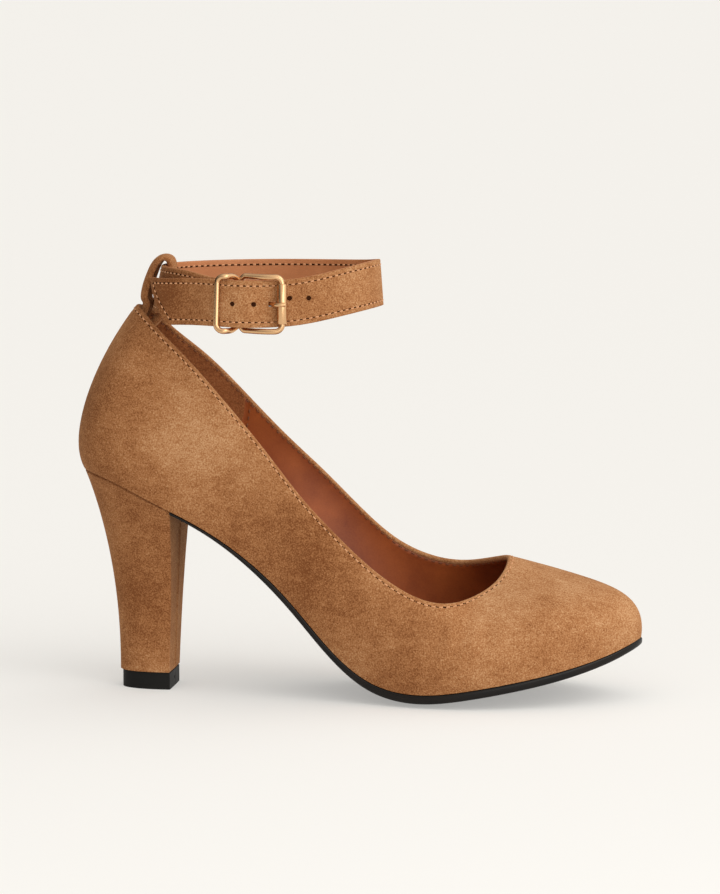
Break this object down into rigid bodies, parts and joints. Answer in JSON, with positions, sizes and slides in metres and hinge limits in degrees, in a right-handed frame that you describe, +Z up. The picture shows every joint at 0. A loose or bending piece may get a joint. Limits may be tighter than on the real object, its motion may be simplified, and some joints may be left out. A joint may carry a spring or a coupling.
{
  "type": "ankle strap pump",
  "caption": "Closed-toe high-heeled pump in suede with a low open throat, covered heel, back loop and buckled ankle strap.",
  "frame": {"origin": "centre of the heel tip's ground face", "axes": "+X toward the toe, +Z up, -Y the outer side of the foot, where the buckle sits"},
  "size_m": [0.2232, 0.0776, 0.1715],
  "materials": {
    "suede": "tan suede with a short nap",
    "lining": "smooth reddish brown lining leather",
    "sole_black": "satin black sole with a burnished edge",
    "tip_black": "matt black",
    "gold": "polished pale gold plate"
  },
  "bodies": {
    "root": {"upper": "suede", "insole": "lining", "outsole": "sole_black", "heel": "suede", "heel_tip": "tip_black", "strap_loop": "suede", "ankle_strap": "suede", "buckle_frame": "gold", "buckle_roller": "gold", "buckle_prong": "gold"}
  },
  "joints": []
}
